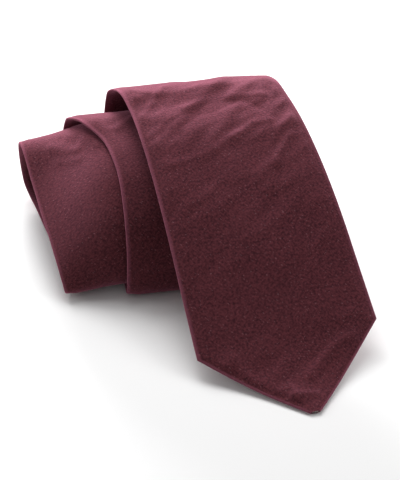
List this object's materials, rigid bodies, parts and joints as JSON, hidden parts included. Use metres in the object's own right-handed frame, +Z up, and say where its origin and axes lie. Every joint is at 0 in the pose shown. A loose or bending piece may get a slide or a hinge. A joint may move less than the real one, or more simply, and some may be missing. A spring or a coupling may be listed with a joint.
{
  "type": "necktie",
  "caption": "Lined burgundy cotton necktie, wound into a flat telescoped roll with the pointed wide end draped over its front; blade and tip lift.",
  "frame": {"origin": "middle of the base of the bounding box, on the surface that the roll and the blade's point lie on", "axes": "+Z up; the blade's point faces -Y, the back of the roll faces +Y; the roll's axis is turned 9.3 degrees from +X toward +Y"},
  "size_m": [0.1428, 0.1592, 0.0535],
  "materials": {
    "burgundy_cotton": "matte fine twill with a soft bloom",
    "interlining": "brushed wool canvas",
    "tipping": "satin lining",
    "thread": "twisted thread",
    "label": "plain woven satin, blank",
    "tag": "plain woven tape, blank"
  },
  "bodies": {
    "roll": {"blade_shell_roll": "burgundy_cotton", "neck_shell": "burgundy_cotton", "tail_shell": "burgundy_cotton", "interlining_roll": "interlining", "interlining_tail": "interlining", "tail_tipping": "tipping", "bar_tack_tail": "thread"},
    "blade": {"blade_shell_flap": "burgundy_cotton", "interlining_flap": "interlining", "keeper_loop": "burgundy_cotton", "label_patch": "label", "care_tag": "tag", "keeper_tack_1": "thread", "keeper_tack_2": "thread", "keeper_tack_3": "thread", "keeper_tack_4": "thread", "slip_stitch_1": "thread", "slip_stitch_2": "thread", "slip_stitch_3": "thread", "slip_stitch_4": "thread"},
    "blade_tip": {"blade_shell_tip": "burgundy_cotton", "interlining_tip": "interlining", "blade_tipping": "tipping", "bar_tack_blade": "thread"}
  },
  "joints": [
    {"name": "blade_lift", "type": "hinge", "parent": "roll", "child": "blade", "pos_m": [0.00888, 0.04401, 0.05329], "axis": [-0.9869, -0.1616, 0], "range_deg": [0, 140]},
    {"name": "tip_lift", "type": "hinge", "parent": "blade", "child": "blade_tip", "pos_m": [0.0263, -0.01402, 0.03519], "axis": [-0.9869, -0.1616, 0], "range_deg": [0, 120]}
  ]
}
